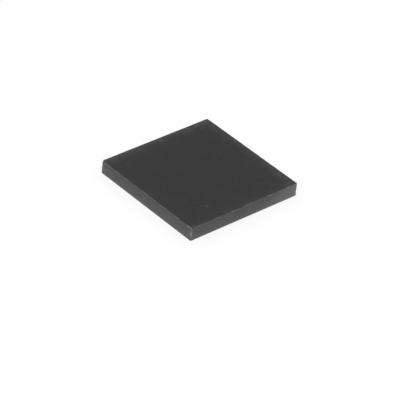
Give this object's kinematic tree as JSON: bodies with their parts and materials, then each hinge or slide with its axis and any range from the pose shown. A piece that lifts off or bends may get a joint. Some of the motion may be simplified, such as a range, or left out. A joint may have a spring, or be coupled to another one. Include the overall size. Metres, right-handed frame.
{
  "type": "rf amplifier chip",
  "caption": "Thin square leadless amplifier chip: a sawn dark moulded block with a chamfered ground paddle and rows of round-ended solder lands underneath, a wired die inside.",
  "frame": {"origin": "middle of the solder plane, on the underside of the ground paddle", "axes": "+Z out of the plain top face; +X along the signal path, from the input side to the output side; terminal 1 is at the +Y end of the -X side, beside the paddle's chamfer"},
  "size_m": [0.007, 0.007, 0.0008],
  "materials": {
    "mould_compound": "fine matte moulded top, finely sawn walls",
    "frame_metal": "etched copper alloy with a pale gold flash",
    "die": "polished semiconductor",
    "die_attach": "silver-filled epoxy",
    "bond_wire": "drawn gold"
  },
  "bodies": {
    "root": {"moulded_body": "mould_compound", "ground_paddle": "frame_metal", "die_attach": "die_attach", "amplifier_die": "die", "terminal_01": "frame_metal", "terminal_02": "frame_metal", "terminal_03": "frame_metal", "terminal_04": "frame_metal", "terminal_05": "frame_metal", "terminal_06": "frame_metal", "terminal_07": "frame_metal", "terminal_08": "frame_metal", "terminal_09": "frame_metal", "terminal_10": "frame_metal", "terminal_11": "frame_metal", "terminal_12": "frame_metal", "terminal_13": "frame_metal", "terminal_14": "frame_metal", "terminal_15": "frame_metal", "terminal_16": "frame_metal", "terminal_17": "frame_metal", "terminal_18": "frame_metal", "terminal_19": "frame_metal", "terminal_20": "frame_metal", "terminal_21": "frame_metal", "terminal_22": "frame_metal", "terminal_23": "frame_metal", "terminal_24": "frame_metal", "terminal_25": "frame_metal", "terminal_26": "frame_metal", "terminal_27": "frame_metal", "terminal_28": "frame_metal", "rf_input_wire_1": "bond_wire", "rf_input_wire_2": "bond_wire", "rf_output_wire_1": "bond_wire", "rf_output_wire_2": "bond_wire", "rf_output_wire_3": "bond_wire", "stage_1_drain_wire_1": "bond_wire", "stage_1_drain_wire_2": "bond_wire", "stage_2_drain_wire_1": "bond_wire", "stage_2_drain_wire_2": "bond_wire", "stage_3_drain_wire_1": "bond_wire", "stage_3_drain_wire_2": "bond_wire", "stage_1_gate_wire_1": "bond_wire", "stage_2_gate_wire_1": "bond_wire", "stage_3_gate_wire_1": "bond_wire", "detector_wire_1": "bond_wire", "reference_wire_1": "bond_wire"}
  },
  "joints": []
}
